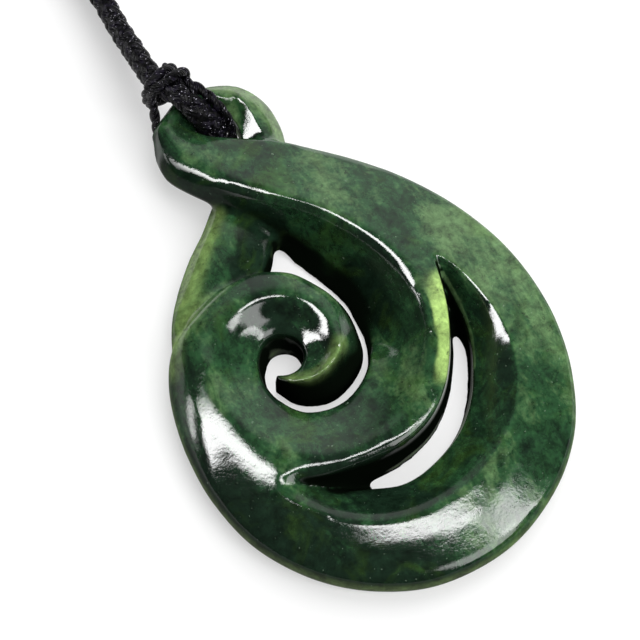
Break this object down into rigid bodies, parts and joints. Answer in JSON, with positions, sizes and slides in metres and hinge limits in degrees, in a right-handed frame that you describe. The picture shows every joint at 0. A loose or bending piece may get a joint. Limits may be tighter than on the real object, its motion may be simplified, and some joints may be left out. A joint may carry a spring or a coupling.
{
  "type": "stone pendant on cord",
  "caption": "Carved greenstone twist pendant with a koru spiral, a crescent piercing and a looped eye, bound to a plaited black neck cord.",
  "frame": {"origin": "centre of the stone's outline, on the surface that its flat back lies on", "axes": "+X to the right of the carved face, +Y from the disc's foot to the eye, +Z out of the carved face, up from the surface"},
  "size_m": [0.1096, 0.3179, 0.0108],
  "materials": {
    "nephrite": "polished",
    "cord": "satin"
  },
  "bodies": {
    "root": {"pendant_stone": "nephrite", "neck_cord": "cord", "side_strand": "cord", "hitch_strand": "cord"}
  },
  "joints": []
}
